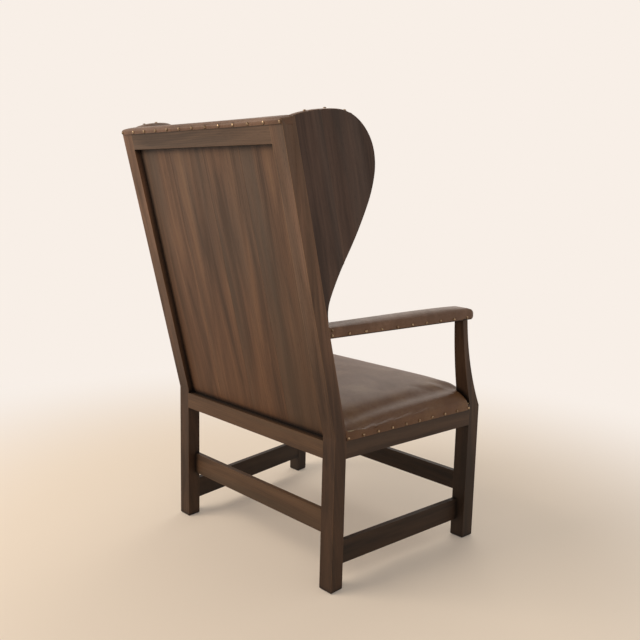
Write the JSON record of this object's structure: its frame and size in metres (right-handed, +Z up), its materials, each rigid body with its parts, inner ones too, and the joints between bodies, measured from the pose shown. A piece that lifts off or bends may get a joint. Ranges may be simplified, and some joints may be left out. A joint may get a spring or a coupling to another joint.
{
  "type": "wingback armchair",
  "caption": "High-backed wing armchair with an oak frame, a raked framed back, open leather-topped arms and a nailed leather seat",
  "frame": {"origin": "on the floor, in the middle of the chair's overall width and depth", "axes": "+Z up, the sitter faces -Y, +X to the sitter's left, X = 0 is the plane of symmetry"},
  "size_m": [0.7204, 0.7042, 1.1221],
  "materials": {
    "stile_wood": "satin",
    "leg_wood": "satin",
    "back_wood": "satin",
    "panel_wood": "satin",
    "wing_wood": "satin",
    "inner_wood": "matte",
    "screw_steel": "satin",
    "webbing": "matte",
    "hessian": "matte",
    "stuffing": "matte",
    "seat_leather": "satin",
    "trim_leather": "satin",
    "nail_brass": "aged"
  },
  "bodies": {
    "root": {"rear_leg_left": "stile_wood", "rear_leg_right": "stile_wood", "front_leg_left": "leg_wood", "front_leg_right": "leg_wood", "back_top_rail": "back_wood", "rear_seat_rail": "back_wood", "front_seat_rail": "leg_wood", "side_seat_rail_left": "leg_wood", "side_seat_rail_right": "leg_wood", "back_panel": "panel_wood", "rear_stretcher": "leg_wood", "front_stretcher": "leg_wood", "side_stretcher_left": "leg_wood", "side_stretcher_right": "leg_wood", "wing_rear_board_left": "wing_wood", "wing_rear_board_right": "wing_wood", "wing_front_board_left": "wing_wood", "wing_front_board_right": "wing_wood", "wing_keys_left": "inner_wood", "wing_keys_right": "inner_wood", "arm_rail_left": "leg_wood", "arm_rail_right": "leg_wood", "corner_blocks": "inner_wood", "corner_block_screws": "screw_steel", "seat_webbing": "webbing", "seat_hessian": "hessian", "seat_stuffing": "stuffing", "seat_leather": "seat_leather", "arm_padding_left": "stuffing", "arm_padding_right": "stuffing", "arm_leather_left": "trim_leather", "arm_leather_right": "trim_leather", "wing_padding_left": "stuffing", "wing_padding_right": "stuffing", "wing_leather_left": "trim_leather", "wing_leather_right": "trim_leather", "back_padding": "stuffing", "back_leather": "seat_leather", "crest_leather": "trim_leather", "crest_nails": "nail_brass", "seat_nails": "nail_brass", "arm_nails_left": "nail_brass", "arm_nails_right": "nail_brass", "wing_nails_left": "nail_brass", "wing_nails_right": "nail_brass"}
  },
  "joints": []
}
